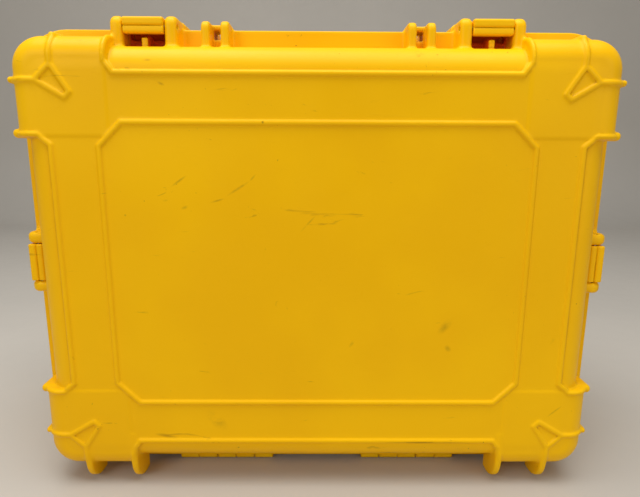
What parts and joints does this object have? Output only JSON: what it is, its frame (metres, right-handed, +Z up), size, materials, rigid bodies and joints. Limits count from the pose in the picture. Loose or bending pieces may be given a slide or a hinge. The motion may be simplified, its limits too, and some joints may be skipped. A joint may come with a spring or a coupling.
{
  "type": "hard transport case",
  "caption": "Moulded hard carrying case with a hinged lid, press-release latches on the front and sides, a folding handle, padlock lugs, a pressure valve and fitted foam.",
  "frame": {"origin": "middle of the case's footprint, on the plane that its standing fins rest on", "axes": "+Z up from the hinge side to the handle side, +X to the right as the lid is looked at, +Y from the lid into the base"},
  "size_m": [0.622, 0.28, 0.5025],
  "materials": {
    "case_plastic": "satin",
    "latch_plastic": "satin",
    "steel": "satin",
    "black_rubber": "matte",
    "dark_plastic": "satin",
    "foam": "matte"
  },
  "bodies": {
    "base": {"base_shell": "case_plastic", "hinge_pin_left": "steel", "hinge_pin_right": "steel", "handle_pin_left": "steel", "handle_pin_right": "steel", "valve_cap": "dark_plastic", "valve_seal": "black_rubber", "valve_nut": "dark_plastic", "valve_membrane": "black_rubber", "base_foam_block": "foam", "base_foam_floor": "foam"},
    "lid": {"lid_shell": "case_plastic", "gasket": "black_rubber", "lid_foam": "foam", "latch_pin_front_left": "steel", "latch_pin_front_right": "steel", "latch_pin_side_left": "steel", "latch_pin_side_right": "steel"},
    "handle": {"handle_frame": "case_plastic", "handle_grip": "black_rubber"},
    "latch_front_left": {"latch_lever_front_left": "latch_plastic", "trigger_pin_front_left": "steel", "trigger_spring_front_left": "steel"},
    "trigger_front_left": {"latch_trigger_front_left": "latch_plastic"},
    "latch_front_right": {"latch_lever_front_right": "latch_plastic", "trigger_pin_front_right": "steel", "trigger_spring_front_right": "steel"},
    "trigger_front_right": {"latch_trigger_front_right": "latch_plastic"},
    "latch_side_left": {"latch_lever_side_left": "latch_plastic", "trigger_pin_side_left": "steel", "trigger_spring_side_left": "steel"},
    "trigger_side_left": {"latch_trigger_side_left": "latch_plastic"},
    "latch_side_right": {"latch_lever_side_right": "latch_plastic", "trigger_pin_side_right": "steel", "trigger_spring_side_right": "steel"},
    "trigger_side_right": {"latch_trigger_side_right": "latch_plastic"}
  },
  "joints": [
    {"name": "lid_hinge", "type": "hinge", "parent": "base", "child": "lid", "pos_m": [0, -0.083, 0.0065], "axis": [1, 0, 0], "range_deg": [0, 110]},
    {"name": "latch_front_left_hinge", "type": "hinge", "parent": "lid", "child": "latch_front_left", "pos_m": [-0.173, -0.108, 0.492], "axis": [1, 0, 0], "range_deg": [0, 120]},
    {"name": "trigger_front_left_press", "type": "hinge", "parent": "latch_front_left", "child": "trigger_front_left", "pos_m": [-0.173, -0.063, 0.4968], "axis": [-1, 0, 0], "range_deg": [0, 8], "stiffness_Nm_per_rad": 0.6, "springref_deg": -5.73},
    {"name": "latch_front_right_hinge", "type": "hinge", "parent": "lid", "child": "latch_front_right", "pos_m": [0.173, -0.108, 0.492], "axis": [1, 0, 0], "range_deg": [0, 120]},
    {"name": "trigger_front_right_press", "type": "hinge", "parent": "latch_front_right", "child": "trigger_front_right", "pos_m": [0.173, -0.063, 0.4968], "axis": [-1, 0, 0], "range_deg": [0, 8], "stiffness_Nm_per_rad": 0.6, "springref_deg": -5.73},
    {"name": "latch_side_left_hinge", "type": "hinge", "parent": "lid", "child": "latch_side_left", "pos_m": [-0.3005, -0.108, 0.253], "axis": [0, 0, 1], "range_deg": [0, 120]},
    {"name": "trigger_side_left_press", "type": "hinge", "parent": "latch_side_left", "child": "trigger_side_left", "pos_m": [-0.3053, -0.063, 0.253], "axis": [0, 0, -1], "range_deg": [0, 8], "stiffness_Nm_per_rad": 0.6, "springref_deg": -5.73},
    {"name": "latch_side_right_hinge", "type": "hinge", "parent": "lid", "child": "latch_side_right", "pos_m": [0.3005, -0.108, 0.253], "axis": [0, 0, -1], "range_deg": [0, 120]},
    {"name": "trigger_side_right_press", "type": "hinge", "parent": "latch_side_right", "child": "trigger_side_right", "pos_m": [0.3053, -0.063, 0.253], "axis": [0, 0, 1], "range_deg": [0, 8], "stiffness_Nm_per_rad": 0.6, "springref_deg": -5.73},
    {"name": "handle_hinge", "type": "hinge", "parent": "base", "child": "handle", "pos_m": [0, -0.065, 0.489], "axis": [1, 0, 0], "range_deg": [0, 90]}
  ]
}
